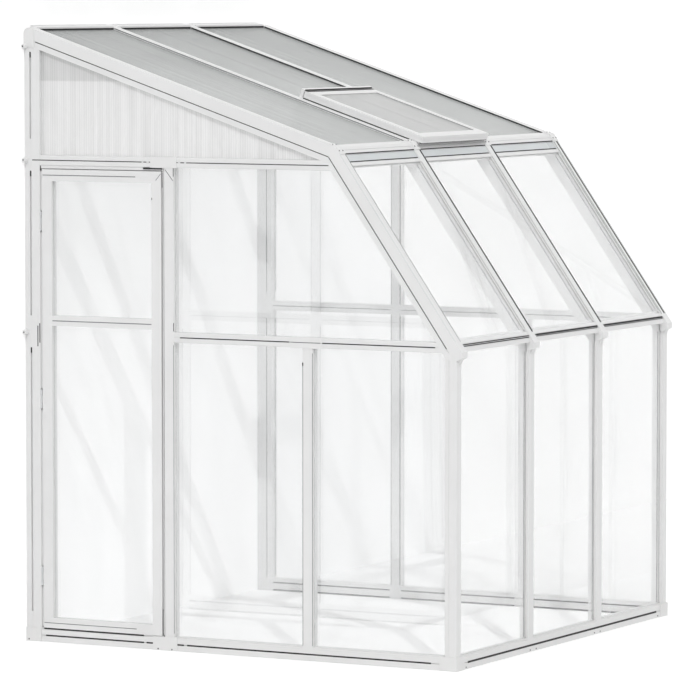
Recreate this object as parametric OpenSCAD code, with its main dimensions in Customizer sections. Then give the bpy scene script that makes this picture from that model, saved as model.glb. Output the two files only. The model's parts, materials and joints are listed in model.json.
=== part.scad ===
// Lean-to greenhouse for a wall: two roof slopes, a hinged door in the left gable and a roof vent.
// Left is -X, the front (eave) is -Y and the wall stands at +Y. All sizes are in mm.
// Modules draw with y = 0 on the outside of the front wall and x = 0 on the left gable,
// and placed() moves them so that the origin is the middle of the base.

/* [Overall] */
// width along the wall, over both gables
frame_w = 1940; // [1500:10:2600]
// depth from the wall to the outside of the front wall
frame_d = 1940; // [1600:10:2400]
// height of the outer edge of the eave
eave_z = 1229; // [1100:1:1500]
// how far the roof bars stand out beyond the front wall
eave_out = 22.5; // [14:0.5:30]
// run of the steep slope, seen from above
steep_run = 551; // [480:1:620]
// pitch of the steep lower slope, degrees
steep_pitch = 54.74; // [50:0.01:58]
// pitch of the shallow upper slope, degrees
upper_pitch = 18.19; // [14:0.01:24]

/* [Bars] */
// depth of the wall bars, through the wall
bar_t = 40; // [34:1:50]
// face width of the posts
post_w = 46; // [36:1:60]
// face width of the corner posts on the gable
corner_w = 50; // [44:1:60]
// face height of the rails
rail_h = 40; // [34:1:46]
// height of the base rail
base_h = 50; // [40:1:60]
// depth of the roof bars, square to the slope
rafter_h = 70; // [62:1:76]
// width of the gable roof bars
rafter_w = 48; // [44:1:56]
// width of the wall posts, with the wall strip
wall_post_w = 70; // [62:1:80]
// outside face to the middle of the glazing
glass_in = 14; // [12:0.5:18]
// depth of the glazing grooves
groove = 8; // [6:0.5:10]
// size of the small bevel on the outer edges
bevel = 2; // [1:0.5:3]

/* [Panels] */
// thickness of the clear panels
clear_t = 3; // [2:0.5:4]
// thickness of the twin-wall panels
twin_t = 6; // [4:0.5:8]
// room around a panel in its groove
seat_gap = 0.3; // [0.2:0.1:0.5]

/* [Door] */
// width of the door leaf
door_w = 552; // [480:1:640]
// thickness of the door leaf
door_t = 36; // [30:1:38]
// width of the door stiles
stile_w = 46; // [40:1:56]
// gap between leaf and wall post
hinge_gap = 10; // [10:0.5:12]
// gap between leaf and latch jamb
latch_gap = 6; // [4:0.5:8]
// height of the door middle rail above the ground, at its middle
door_mid_z = 1294.5; // [1000:0.5:1400]

/* [Vent] */
// width of the vent sash
sash_w = 582; // [540:1:584]
// length of the vent sash, along the slope
sash_l = 565; // [480:1:640]
// how far the sash runs down past the knee
sash_over = 25; // [18:1:28]
// width of the bars of the sash
sash_bar = 45; // [38:1:50]
// height of the top of the sash above the roof
sash_top = 31; // [29:1:36]
// length of the stay
stay_l = 250; // [180:5:260]

/* [Hinges] */
// radius of the door hinge knuckles
knuckle_r = 3.3; // [3:0.1:3.4]
// radius of the hinge pins
pin_r = 1.5; // [1.2:0.1:1.8]
// length of each door hinge
hinge_l = 76; // [60:1:100]

/* [Hidden] */
$fn = 48;

// heights and depths that follow from the sizes above
knee_y = steep_run - eave_out;
knee_z = eave_z + steep_run * tan(steep_pitch);
post_top = eave_z - 32;
mid_z = eave_z - 3;
head_z = knee_z - 92.4;
leaf_y1 = frame_d - wall_post_w - hinge_gap;
leaf_y0 = leaf_y1 - door_w;
leaf_z0 = base_h + 7;
leaf_z1 = head_z - 16;
jamb_y1 = leaf_y0 - latch_gap;
jamb_w = post_w + 5;
jamb_y0 = jamb_y1 - jamb_w;
half_y = (corner_w + jamb_y0) / 2;
far_y = jamb_y0 - 14;
slit = clear_t + 2 * seat_gap;
twin_slit = twin_t + 2 * seat_gap;
step_in = 6;
base_top = base_h + step_in;
wall_y0 = frame_d - wall_post_w;
// left side of the vent, and the roof bars: the inner two stand on both sides of the vent
vent_x0 = (frame_w - sash_w) / 2;
bar_x = [0, vent_x0 - rafter_w, vent_x0 + sash_w, frame_w - rafter_w];
rise = (rafter_w - post_w) / 2;
// depth of the panels below the top of the roof bars
pane_n = 9;
twin_n = 8;
// how far a panel reaches into its groove
reach = groove - seat_gap;
// clear edges of the middle bay, the ends of the panels and the highest point of the roof
bay_x0 = bar_x[1] + rafter_w;
bay_x1 = bar_x[2];
eave_s = steep_run / cos(steep_pitch) - 36;
top_s = (frame_d - 30 - knee_y) / cos(upper_pitch);
top_z = knee_z + (frame_d - knee_y) * tan(upper_pitch);
cut = 30;
// rounding of the top corner at the wall, and where the screw holes of the top rail are
ridge_r = 22;
ridge_drop = 55;
ridge_hole = 140;
door_top_h = 47;
door_low_h = 41;
// holes for ground anchors in the base rails and for wall screws
hole_r = 3.25;
hole_in = 28;
anchor_y = [frame_d * 0.175, frame_d * 0.805];
screw_z = [300, 1800];
// hinge line of the vent, and where its parts start along the slope
sash_s1 = sash_l - sash_over;
sash_n0 = 4;
trim_s = sash_s1 + 4;
axis_s = sash_s1 + 2;
axis_n = sash_top - 4;
vent_hinge_in = 101;
vent_hinge_x = [vent_x0 + vent_hinge_in, vent_x0 + sash_w - vent_hinge_in];
vent_knuckle = 16;
// pivot of the stay
stay_s = 50;
stay_n = 8;
// hinge line of the door
door_axis_x = 2;
door_axis_y = leaf_y1 + hinge_gap / 2;
door_hinge_z = [leaf_z0 + 170, (leaf_z0 + leaf_z1 - hinge_l) / 2, leaf_z1 - 170 - hinge_l];
third = hinge_l / 3;
pin_room = 0.06;

// a point s down the steep slope from the knee and n out from it, as [y, z]
function steep(s, n) = [knee_y - s * cos(steep_pitch) - n * sin(steep_pitch),
    knee_z - s * sin(steep_pitch) + n * cos(steep_pitch)];
// a point s up the shallow slope from the knee and n out from it, as [y, z]
function upper(s, n) = [knee_y + s * cos(upper_pitch) - n * sin(upper_pitch),
    knee_z + s * sin(upper_pitch) + n * cos(upper_pitch)];
// distance from the knee line to the mitre at the depth n, the same on both slopes
function mitre(n) = -n * tan((steep_pitch - upper_pitch) / 2);
// distance up the shallow slope to the upright plane at y, at the depth n
function up_to(y, n) = (y - knee_y + n * sin(upper_pitch)) / cos(upper_pitch);
// distance down the steep slope to the level z, at the depth n
function down_to(z, n) = (knee_z + n * cos(steep_pitch) - z) / sin(steep_pitch);
// the rounded corner between the roof and the wall plane, as [y, z] points from roof to wall
function ridge_arc() = let (y = frame_d - ridge_r,
    z = top_z - ridge_r * tan(upper_pitch) - ridge_r / cos(upper_pitch))
    [for (k = [0 : 6]) let (a = (90 + upper_pitch) * (1 - k / 6))
        [y + ridge_r * cos(a), z + ridge_r * sin(a)]];

// groove sides of a roof bar: -1 faces left and 1 faces right
function sides(i) = i == 0 ? [1] : i == 3 ? [-1] : [-1, 1];
function groove_x(i, side) = side < 0 ? [bar_x[i] - 1, bar_x[i] + groove]
    : [bar_x[i] + rafter_w - groove, bar_x[i] + rafter_w + 1];
function coupler_y(right) = right ? far_y + post_w / 2 : jamb_y0 + 42;
// clear opening of a front bay
function front_x0(i) = i == 0 ? bar_t : bar_x[i] + (rafter_w + post_w) / 2;
function front_x1(i) = i == 2 ? frame_w - bar_t : bar_x[i + 1] + (rafter_w - post_w) / 2;
// the groove that takes the front panels past the foot of a roof bar
function foot_x(i, side) = side < 0 ? [bar_x[i] - 1, front_x1(i - 1) + groove]
    : [front_x0(i) - groove, bar_x[i] + rafter_w + 1];
function panel_s(i) = i == 1 ? trim_s + 14 - reach : 22 + seat_gap;

module placed() translate([-frame_w / 2, (eave_out - frame_d) / 2, 0]) children();
// draws a left gable piece, or its mirror image on the right gable
module gable(right) {
    placed() if (right) translate([frame_w, 0, 0]) mirror([1, 0, 0]) children();
    else children();
}
// draws on the shallow slope: x as before, y up the slope from the knee and z out from it
module on_upper() placed() translate([0, knee_y, knee_z]) rotate([upper_pitch, 0, 0]) children();
// sweeps a [y, z] outline from x0 to x1
module across(x0, x1) translate([x0, 0, 0]) rotate([90, 0, 90]) linear_extrude(x1 - x0) children();
// sweeps an [x, z] outline from y0 to y1
module along(y0, y1) translate([0, y1, 0]) rotate([90, 0, 0]) linear_extrude(y1 - y0) children();
module upright(z0, z1) translate([0, 0, z0]) linear_extrude(z1 - z0) children();
module block(x0, x1, y0, y1, z0, z1) translate([x0, y0, z0]) cube([x1 - x0, y1 - y0, z1 - z0]);
// everything above the depth n below the top of the roof bars
module over_roof(x0, x1, n) across(x0, x1) polygon([steep(1700, n), steep(mitre(n), n),
    upper(2900, n), upper(2900, 900), steep(mitre(900), 900), steep(1700, 900)]);

// bar outline with bevelled outer edges: depth runs along +x, width along y
module bar_outline(w) polygon([[0, bevel], [bevel, 0], [bar_t, 0], [bar_t, w], [bevel, w],
    [0, w - bevel]]);
module groove_cut(y0, y1, wide) translate([glass_in - wide / 2, y0]) square([wide, y1 - y0]);
// post outline with a glazing groove on the sides asked for
module post_outline(w, low, high) difference() {
    bar_outline(w);
    if (low) groove_cut(-1, groove, slit);
    if (high) groove_cut(w - groove, w + 1, slit);
}
// gable post standing on the base rail
module gable_post(y0, w, z1, low, high) difference() {
    upright(base_h, z1) translate([0, y0]) post_outline(w, low, high);
    block(step_in, bar_t + 1, y0 - 1, y0 + w + 1, base_h - 1, base_top);
}
// rail along a gable, with a fine line along its face and grooves of the widths given
module rail(y0, y1, z0, below, above) along(y0, y1) difference() {
    translate([0, z0]) bar_outline(rail_h);
    translate([-1, z0 + rail_h / 2 - 1.5]) square([4, 3]);
    if (below > 0) groove_cut(z0 - 1, z0 + groove, below);
    if (above > 0) groove_cut(z0 + rail_h - groove, z0 + rail_h + 1, above);
}
// base rail outline: a stepped top with the glazing groove, and a line along its face
module base_outline() difference() {
    polygon([[0, 0], [bar_t, 0], [bar_t, base_top], [step_in, base_top], [step_in, base_h],
        [0, base_h]]);
    translate([-1, base_h / 2 - 0.5]) square([5, 3]);
    groove_cut(base_top - groove, base_top + 1, slit);
}

module base_rail_front() color("white") placed() across(0, frame_w) base_outline();
module base_rail(right) color("white") gable(right) difference() {
    along(bar_t, frame_d) base_outline();
    for (y = anchor_y) translate([hole_in, y, -1]) cylinder(r = hole_r, h = base_top + 2);
}
module base_rail_left() base_rail(false);
module base_rail_right() base_rail(true);

// corner post with a groove for the gable glazing and one for the front glazing
module corner_post(right) color("white") gable(right) difference() {
    upright(base_h, post_top) difference() {
        post_outline(corner_w, false, true);
        translate([bar_t - groove, glass_in - slit / 2]) square([groove + 1, slit]);
        translate([-1, corner_w - 19]) square([2.5, 3]);
    }
    block(-1, bar_t + 1, step_in, bar_t, base_h - 1, base_top);
    block(step_in, bar_t + 1, bar_t - 1, corner_w + 1, base_h - 1, base_top);
}
module corner_post_left() corner_post(false);
module corner_post_right() corner_post(true);

module front_post(i) color("white") placed() difference() {
    translate([bar_x[i] + (rafter_w - post_w) / 2, 0, base_h]) linear_extrude(post_top - base_h)
        rotate([0, 0, 90]) mirror([0, 1, 0]) post_outline(post_w, true, true);
    block(bar_x[i] - 1, bar_x[i] + rafter_w + 1, step_in, bar_t + 1, base_h - 1, base_top);
}
module front_post_left() front_post(1);
module front_post_right() front_post(2);

// wall post: a face, an open channel and the strip against the wall
module wall_post(right) color("white") gable(right) difference() {
    upright(base_h, top_z) translate([0, wall_y0]) post_outline(wall_post_w, right, false);
    over_roof(-cut, bar_t + cut, -rafter_h);
    block(-1, 10, frame_d - 32, frame_d - 24, 0, top_z);
    block(step_in, bar_t + 1, wall_y0 - 1, frame_d + 1, base_h - 1, base_top);
    block(glass_in - twin_slit / 2, glass_in + twin_slit / 2, wall_y0 - 1, wall_y0 + groove,
        head_z + rail_h - groove, top_z);
    for (z = screw_z) translate([hole_in, wall_y0 - 1, z]) rotate([-90, 0, 0])
        cylinder(r = hole_r, h = wall_post_w + 2);
}
module wall_post_left() wall_post(false);
module wall_post_right() wall_post(true);

// latch jamb: a face, a narrow channel and lip, and a stop that the leaf closes against
module jamb_post() color("white") gable(false) difference() {
    union() {
        gable_post(jamb_y0, jamb_w, head_z, true, false);
        block(door_t + 0.4, bar_t, jamb_y1 - 2, jamb_y1 + 14, base_top, head_z);
    }
    block(-1, 10, jamb_y1 - 8, jamb_y1 - 4.5, 0, head_z + 1);
}
module gable_post_right() color("white") gable(true)
    gable_post(far_y, post_w, head_z, true, true);
module half_post_left() color("white") gable(false)
    gable_post(half_y - post_w / 2, post_w, mid_z, true, true);
module half_post_right() color("white") gable(true)
    gable_post(half_y - post_w / 2, post_w, mid_z, true, true);

module head_rail(right) color("white") gable(right) difference() {
    rail(0, wall_y0, head_z, slit, twin_slit);
    over_roof(-cut, bar_t + cut, -rafter_h);
}
module head_rail_left() head_rail(false);
module head_rail_right() head_rail(true);
module mid_rail_left() color("white") gable(false) difference() {
    rail(0, jamb_y0, mid_z, slit, slit);
    over_roof(-cut, bar_t + cut, -rafter_h);
}
module mid_rail_right() color("white") gable(true) {
    difference() {
        rail(0, far_y, mid_z, slit, slit);
        over_roof(-cut, bar_t + cut, -rafter_h);
    }
    rail(far_y + post_w, wall_y0, mid_z, slit, slit);
}

// eave rail between the roof bars: a face, a shadow channel and a lip over the panel ends
module eave_rail() color("white") placed() for (i = [0 : 2]) difference() {
    across(bar_x[i] + rafter_w, bar_x[i + 1]) polygon([[-6, eave_z + 1], [28, eave_z + 1],
        steep(eave_s - 35, -pane_n - clear_t - seat_gap), steep(eave_s, -pane_n - clear_t - seat_gap),
        steep(eave_s, -pane_n + seat_gap), steep(eave_s - 19, -pane_n + seat_gap),
        steep(eave_s - 19, -4), steep(eave_s - 5, -4), steep(eave_s - 5, -6),
        steep(eave_s - 2, -6), steep(eave_s - 2, -4), steep(eave_s + 4, -4),
        [2, eave_z + 23], [2, eave_z + 19], [-6, eave_z + 19]]);
    block(-1, frame_w + 1, glass_in - slit / 2, glass_in + slit / 2, eave_z, eave_z + 1 + groove);
}

// knee rail between the roof bars: it holds the ends of the panels of both slopes
module knee_rail() color("white") placed() for (i = [0 : 2])
    across(bar_x[i] + rafter_w, bar_x[i + 1]) polygon([upper(mitre(-3), -3), upper(30, -3),
        upper(30, -twin_n + seat_gap), upper(22, -twin_n + seat_gap),
        upper(22, -twin_n - twin_t - seat_gap), upper(30, -twin_n - twin_t - seat_gap),
        upper(30, -42), upper(mitre(-50), -50), steep(70, -26), steep(87, -22),
        steep(87, -pane_n - clear_t - seat_gap), steep(79, -pane_n - clear_t - seat_gap),
        steep(79, -pane_n + seat_gap), steep(87, -pane_n + seat_gap), steep(87, -4),
        steep(73, -4), steep(73, -7), steep(35, -7), steep(35, -3), steep(17, -3),
        steep(17, -5), steep(14, -5), steep(14, -3)]);

// rail against the wall between the roof bars, above the upper ends of the roof panels
module wall_top_rail() color("white") placed() for (i = [0 : 2]) difference() {
    across(bar_x[i] + rafter_w, bar_x[i + 1]) polygon([[frame_d - 38, top_z - 7],
        [frame_d, top_z], [frame_d, top_z - 85], [frame_d - 20, top_z - 85],
        [frame_d - 38, top_z - 50]]);
    across(0, frame_w) polygon([upper(top_s - 20, -twin_n - twin_t - seat_gap),
        upper(top_s, -twin_n - twin_t - seat_gap), upper(top_s, -twin_n + seat_gap),
        upper(top_s - 20, -twin_n + seat_gap)]);
    for (side = [-1, 1]) translate([(bar_x[i] + rafter_w + bar_x[i + 1]) / 2 + side * ridge_hole,
        frame_d - 60, top_z - ridge_drop]) rotate([-90, 0, 0]) cylinder(r = hole_r, h = 70);
}

// roof bar on the shallow slope, for the bar number i
module upper_rafter(i) color("white") placed() difference() {
    across(bar_x[i], bar_x[i] + rafter_w) polygon(concat([upper(0, 0)],
        i == 0 || i == 3 ? ridge_arc() : [upper(up_to(frame_d, 0), 0)],
        [upper(up_to(frame_d, -rafter_h), -rafter_h), upper(mitre(-rafter_h), -rafter_h)]));
    for (side = sides(i)) across(groove_x(i, side)[0], groove_x(i, side)[1])
        polygon([upper(22, -twin_n - twin_t - seat_gap), upper(2900, -twin_n - twin_t - seat_gap),
            upper(2900, -twin_n + seat_gap), upper(22, -twin_n + seat_gap)]);
    if (i == 0) gable_cuts(twin_slit);
    if (i == 3) translate([frame_w, 0, 0]) mirror([1, 0, 0]) gable_cuts(twin_slit);
}
// roof bar on the steep slope, with its foot on the post below
module lower_rafter(i) color("white") placed() difference() {
    across(bar_x[i], bar_x[i] + rafter_w) polygon([steep(0, 0), steep(down_to(eave_z, 0), 0),
        [-eave_out, eave_z - 20.5], [0, post_top],
        [steep(down_to(post_top, -rafter_h), -rafter_h)[0], post_top],
        steep(mitre(-rafter_h), -rafter_h)]);
    for (side = sides(i)) across(groove_x(i, side)[0], groove_x(i, side)[1])
        polygon([steep(79, -pane_n - clear_t - seat_gap), steep(eave_s, -pane_n - clear_t - seat_gap),
            steep(eave_s, -pane_n + seat_gap), steep(79, -pane_n + seat_gap)]);
    for (side = sides(i)) block(foot_x(i, side)[0], foot_x(i, side)[1], glass_in - slit / 2,
        glass_in + slit / 2, post_top - 1, eave_z + 1 + groove);
    if (i == 0) gable_cuts(slit);
    if (i == 3) translate([frame_w, 0, 0]) mirror([1, 0, 0]) gable_cuts(slit);
}
// the fine line along the face of a gable roof bar and the glazing groove in its underside
module gable_cuts(wide) {
    difference() {
        over_roof(-1, 3, -47.5);
        over_roof(-2, 4, -44.5);
        block(-2, 4, -100, 2000, 0, post_top + 30);
    }
    difference() {
        over_roof(glass_in - wide / 2, glass_in + wide / 2, -rafter_h - 1);
        over_roof(-cut, bar_t + cut, groove - rafter_h);
        block(-2, 90, -100, corner_w - groove, 0, mid_z);
    }
}
module upper_rafter_1() upper_rafter(0);
module upper_rafter_2() upper_rafter(1);
module upper_rafter_3() upper_rafter(2);
module upper_rafter_4() upper_rafter(3);
module lower_rafter_1() lower_rafter(0);
module lower_rafter_2() lower_rafter(1);
module lower_rafter_3() lower_rafter(2);
module lower_rafter_4() lower_rafter(3);

// moulded feet round the corners and couplers over the joints of the base rails
module base_connectors() color("white") for (right = [false, true]) gable(right) {
    upright(0, base_h + 5) polygon([[-5, -5], [bar_t + 22, -5], [bar_t + 22, 0], [0, 0],
        [0, corner_w + 20], [-5, corner_w + 20]]);
    block(-5, 0, wall_y0, frame_d, 0, base_h + 5);
    block(-3, 0, coupler_y(right) - 55, coupler_y(right) + 56, 0, base_h + 5);
}
// coupling plates on the joints of the rails
module rail_couplers() color("white") for (right = [false, true]) gable(right) {
    block(-3, 0, half_y - 65, half_y + 78, mid_z - 2, mid_z + rail_h + 2);
    block(-3, 0, coupler_y(right) - 56, coupler_y(right) + 63, head_z - 2, head_z + rail_h + 2);
}
// folded covers over the knee of each roof bar
module knee_connectors() color("white") placed() for (i = [0 : 3])
    across(bar_x[i] + 2, bar_x[i] + rafter_w - 2) polygon([upper(0, 0), upper(30, 0), upper(30, 3),
        upper(mitre(3), 3), steep(35, 3), steep(35, 0)]);
// haunches between corner post and roof bar, and the tips below the feet of the roof bars
module eave_connectors() color("white") {
    for (right = [false, true]) gable(right) difference() {
        block(2, bar_t, 10, corner_w, post_top, mid_z);
        over_roof(-cut, bar_t + cut, -rafter_h);
        block(glass_in - slit / 2, glass_in + slit / 2, corner_w - groove, corner_w + 1,
            post_top - 1, mid_z + 1);
    }
    placed() for (i = [0 : 3]) across(bar_x[i] + 9, bar_x[i] + rafter_w - 9)
        polygon([[0, post_top - 16], [0, post_top], [-9, post_top + 11.5 * 9 / eave_out],
            [-4, post_top - 10]]);
}
// caps on the gables over the upper end of the roof bars
module ridge_caps() color("white") for (right = [false, true]) gable(right)
    across(-4, 0) polygon(concat([upper(up_to(frame_d - 48, 0), 0)], ridge_arc(),
        [[frame_d, top_z - 78], [frame_d - 48, top_z - 90]]));

// clear panel in the grooves of a gable bay, cut off under the roof bars
module gable_pane(y0, y1, z0, z1, t) difference() {
    block(glass_in - t / 2, glass_in + t / 2, y0 - reach, y1 + reach, z0 - reach, z1 + reach);
    over_roof(-cut, bar_t + cut, -rafter_h + reach);
}
module front_panels() color("lightcyan", 0.4) placed() for (i = [0 : 2])
    block(front_x0(i) - reach, front_x1(i) + reach, glass_in - clear_t / 2, glass_in + clear_t / 2,
        base_top - reach, eave_z + 1 + reach);
module side_panels_left() color("lightcyan", 0.4) gable(false) {
    gable_pane(corner_w, half_y - post_w / 2, base_top, mid_z, clear_t);
    gable_pane(half_y + post_w / 2, jamb_y0, base_top, mid_z, clear_t);
}
module side_panels_right() color("lightcyan", 0.4) gable(true) {
    gable_pane(corner_w, half_y - post_w / 2, base_top, mid_z, clear_t);
    gable_pane(half_y + post_w / 2, far_y, base_top, mid_z, clear_t);
    gable_pane(far_y + post_w, wall_y0, base_top, mid_z, clear_t);
}
module upper_panel_left() color("lightcyan", 0.4) gable(false)
    gable_pane(0, jamb_y0, mid_z + rail_h, head_z, clear_t);
module upper_panels_right() color("lightcyan", 0.4) gable(true) {
    gable_pane(0, far_y, mid_z + rail_h, head_z, clear_t);
    gable_pane(far_y + post_w, wall_y0, mid_z + rail_h, head_z, clear_t);
}
module gable_panel(right) color("lightgrey", 0.7) gable(right) gable_pane(
    upper(mitre(-rafter_h), -rafter_h)[0] + 12 + reach, wall_y0, head_z + rail_h, top_z, twin_t);
module gable_panel_left() gable_panel(false);
module gable_panel_right() gable_panel(true);
module steep_panels() color("lightcyan", 0.4) placed() for (i = [0 : 2])
    across(bar_x[i] + rafter_w - reach, bar_x[i + 1] + reach) polygon([
        steep(79 + seat_gap, -pane_n - clear_t), steep(eave_s - seat_gap, -pane_n - clear_t),
        steep(eave_s - seat_gap, -pane_n), steep(79 + seat_gap, -pane_n)]);
// twin-wall panels of the shallow slope: the middle one starts above the vent
module roof_panels() color("lightgrey", 0.7) placed() for (i = [0 : 2])
    across(bar_x[i] + rafter_w - reach, bar_x[i + 1] + reach) polygon([
        upper(panel_s(i), -twin_n - twin_t), upper(top_s - seat_gap, -twin_n - twin_t),
        upper(top_s - seat_gap, -twin_n), upper(panel_s(i), -twin_n)]);

// raised frame that the vent sash closes on: two side bars and a bar over the knee rail
module vent_curb() color("white") on_upper() {
    for (x = [bay_x0, bay_x1 - 20]) block(x, x + 20, 30, trim_s, -24, sash_n0 - seat_gap);
    block(bay_x0, bay_x1, 0, 30, -3, sash_n0 - seat_gap);
}
// cross bar above the vent: the hinges of the sash are let into its front
module vent_trimmer() color("white") on_upper() difference() {
    block(bay_x0, bay_x1, trim_s, trim_s + 14, -40, sash_top + 6);
    block(bay_x0 - 1, bay_x1 + 1, trim_s + 14 - groove, trim_s + 15, -twin_n - twin_t - seat_gap,
        -twin_n + seat_gap);
    for (x = vent_hinge_x) {
        hinge_room(x);
        for (side = [-1, 1]) vent_leaf(x + side * (vent_knuckle + 0.4), 1);
    }
}
// bar over the door: a weather strip, and a stop behind the leaf
module door_stop() color("white") gable(false) union() {
    block(4, door_t + 0.4, jamb_y1, wall_y0, head_z - 13, head_z);
    block(door_t + 0.4, bar_t, jamb_y1 + 14, wall_y0, head_z - 26, head_z);
    block(door_t - 2, door_t + 1, jamb_y1 + 14, wall_y0, head_z - 13, head_z);
}
module door_catch() color("dimgray") gable(false)
    block(bar_t, bar_t + 14, jamb_y1 + 20, jamb_y1 + 70, head_z - 26, head_z);

// door hinges: the knuckle heights run from z = 0 at the foot of each hinge
module door_knuckle(z0, z1) translate([door_axis_x, door_axis_y, z0])
    cylinder(r = knuckle_r, h = z1 - z0);
module door_hinge_frame_leaves() color("silver") gable(false) for (z = door_hinge_z)
    translate([0, 0, z]) union() {
        block(3, 33, wall_y0 - 1.5, wall_y0, 0, hinge_l);
        for (k = [0, 2]) {
            door_knuckle(k * third + 0.2, k * third + third - 0.2);
            block(1, 5, door_axis_y, wall_y0, k * third + 0.2, k * third + third - 0.2);
        }
        translate([door_axis_x, door_axis_y, 0.2]) cylinder(r = pin_r, h = hinge_l - 0.4);
    }
module door_hinge_leaves() color("silver") gable(false) for (z = door_hinge_z)
    translate([0, 0, z]) difference() {
        union() {
            block(3, 33, leaf_y1, leaf_y1 + 1.5, 0, hinge_l);
            door_knuckle(third + 0.2, 2 * third - 0.2);
            block(1, 5, leaf_y1, door_axis_y, third + 0.2, 2 * third - 0.2);
        }
        translate([door_axis_x, door_axis_y, third - 1])
            cylinder(r = pin_r + pin_room, h = third + 2);
    }

// vent hinges, drawn on the slope: a leaf goes up the slope for dir = 1 and down for dir = -1
module hinge_room(x) translate([x - 1.5 * vent_knuckle - 1, axis_s, axis_n]) rotate([0, 90, 0])
    cylinder(r = knuckle_r + 0.9, h = 3 * vent_knuckle + 2);
module vent_leaf(x, dir) block(x - vent_knuckle / 2, x + vent_knuckle / 2,
    dir > 0 ? axis_s : axis_s - 12, dir > 0 ? axis_s + 9 : axis_s, axis_n - 1, axis_n + 1);
module vent_barrel(x) translate([x - vent_knuckle / 2, axis_s, axis_n]) rotate([0, 90, 0])
    cylinder(r = knuckle_r, h = vent_knuckle);
module vent_hinge_frame_leaves() color("silver") on_upper() for (x = vent_hinge_x) union() {
    for (side = [-1, 1]) {
        vent_leaf(x + side * (vent_knuckle + 0.4), 1);
        vent_barrel(x + side * (vent_knuckle + 0.4));
    }
    translate([x - 1.5 * vent_knuckle, axis_s, axis_n]) rotate([0, 90, 0])
        cylinder(r = pin_r, h = 3 * vent_knuckle);
}
module vent_hinge_leaves() color("silver") on_upper() for (x = vent_hinge_x) difference() {
    union() {
        vent_leaf(x, -1);
        vent_barrel(x);
    }
    translate([x - vent_knuckle, axis_s, axis_n]) rotate([0, 90, 0])
        cylinder(r = pin_r + pin_room, h = 2 * vent_knuckle);
}
// peg on the knee rail that the stay hooks on, just beside the swing of the stay
module stay_peg() color("dimgray") on_upper() translate([frame_w / 2, 0, 0]) union() {
    block(12, 18, 30, 45, -28, -8);
    translate([2.5, 40, -18]) rotate([0, 90, 0]) cylinder(r = 3, h = 11);
}

// door leaf: mitred stiles and rails round two clear panels
module door_stile(y_out, y_in) difference() {
    across(0, door_t) polygon([[y_out, leaf_z0], [y_out, leaf_z1], [y_in, leaf_z1 - door_top_h],
        [y_in, leaf_z0 + door_low_h]]);
    block(glass_in - slit / 2, glass_in + slit / 2, y_in - groove, y_in + groove,
        leaf_z0 + door_low_h - groove, leaf_z1 - door_top_h + groove);
}
module door_hinge_stile() color("white") gable(false) door_stile(leaf_y1, leaf_y1 - stile_w);
module door_latch_stile() color("white") gable(false) door_stile(leaf_y0, leaf_y0 + stile_w - 2);
module door_rails() color("white") gable(false) {
    in0 = leaf_y0 + stile_w - 2;
    in1 = leaf_y1 - stile_w;
    difference() {
        across(0, door_t) polygon([[leaf_y0, leaf_z1], [leaf_y1, leaf_z1],
            [in1, leaf_z1 - door_top_h], [in0, leaf_z1 - door_top_h]]);
        block(glass_in - slit / 2, glass_in + slit / 2, in0 - groove, in1 + groove,
            leaf_z1 - door_top_h - 1, leaf_z1 - door_top_h + groove);
        block(-1, 3, in0, in1, leaf_z1 - 25, leaf_z1 - 22);
    }
    difference() {
        block(0, door_t, in0, in1, door_mid_z - door_low_h / 2, door_mid_z + door_low_h / 2);
        for (z = [door_mid_z - door_low_h / 2, door_mid_z + door_low_h / 2])
            block(glass_in - slit / 2, glass_in + slit / 2, in0 - 1, in1 + 1, z - groove, z + groove);
        block(-1, 3, in0 - 1, in1 + 1, door_mid_z - 1.5, door_mid_z + 1.5);
    }
    difference() {
        across(0, door_t) polygon([[leaf_y0, leaf_z0], [leaf_y1, leaf_z0],
            [in1, leaf_z0 + door_low_h], [in0, leaf_z0 + door_low_h]]);
        block(glass_in - slit / 2, glass_in + slit / 2, in0 - groove, in1 + groove,
            leaf_z0 + door_low_h - groove, leaf_z0 + door_low_h + 1);
        block(-1, 3, in0, in1, leaf_z0 + 19, leaf_z0 + 22);
    }
}
module door_pane(z0, z1) gable(false) block(glass_in - clear_t / 2, glass_in + clear_t / 2,
    leaf_y0 + stile_w - 2 - reach, leaf_y1 - stile_w + reach, z0 - reach, z1 + reach);
module door_upper_panel() color("lightcyan", 0.4)
    door_pane(door_mid_z + door_low_h / 2, leaf_z1 - door_top_h);
module door_lower_panel() color("lightcyan", 0.4)
    door_pane(leaf_z0 + door_low_h, door_mid_z - door_low_h / 2);

// vent sash: four mitred bars round a twin-wall panel
module sash_cuts() {
    block(vent_x0 + sash_bar - groove, vent_x0 + sash_w - sash_bar + groove,
        -sash_over + sash_bar - groove, sash_s1 - sash_bar + groove,
        sash_top - 3 - twin_t - seat_gap, sash_top - 3 + seat_gap);
    difference() {
        block(vent_x0 - 1, vent_x0 + sash_w + 1, -sash_over - 1, sash_s1 + 1, 18, 20);
        block(vent_x0 + 1.5, vent_x0 + sash_w - 1.5, 1.5 - sash_over, sash_s1 - 1.5, 17, 21);
    }
    for (x = vent_hinge_x) {
        hinge_room(x);
        vent_leaf(x, -1);
    }
}
module vent_sash() color("white") on_upper() {
    a = [vent_x0, vent_x0 + sash_w];
    b = [-sash_over, sash_s1];
    for (k = [0, 1]) {
        in = k == 0 ? sash_bar : -sash_bar;
        difference() {
            upright(sash_n0, sash_top) polygon([[a[k], b[0]], [a[k] + in, b[0] + sash_bar],
                [a[k] + in, b[1] - sash_bar], [a[k], b[1]]]);
            sash_cuts();
        }
        difference() {
            upright(sash_n0, sash_top) polygon([[a[0], b[k]], [a[0] + sash_bar, b[k] + in],
                [a[1] - sash_bar, b[k] + in], [a[1], b[k]]]);
            sash_cuts();
        }
    }
}
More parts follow.
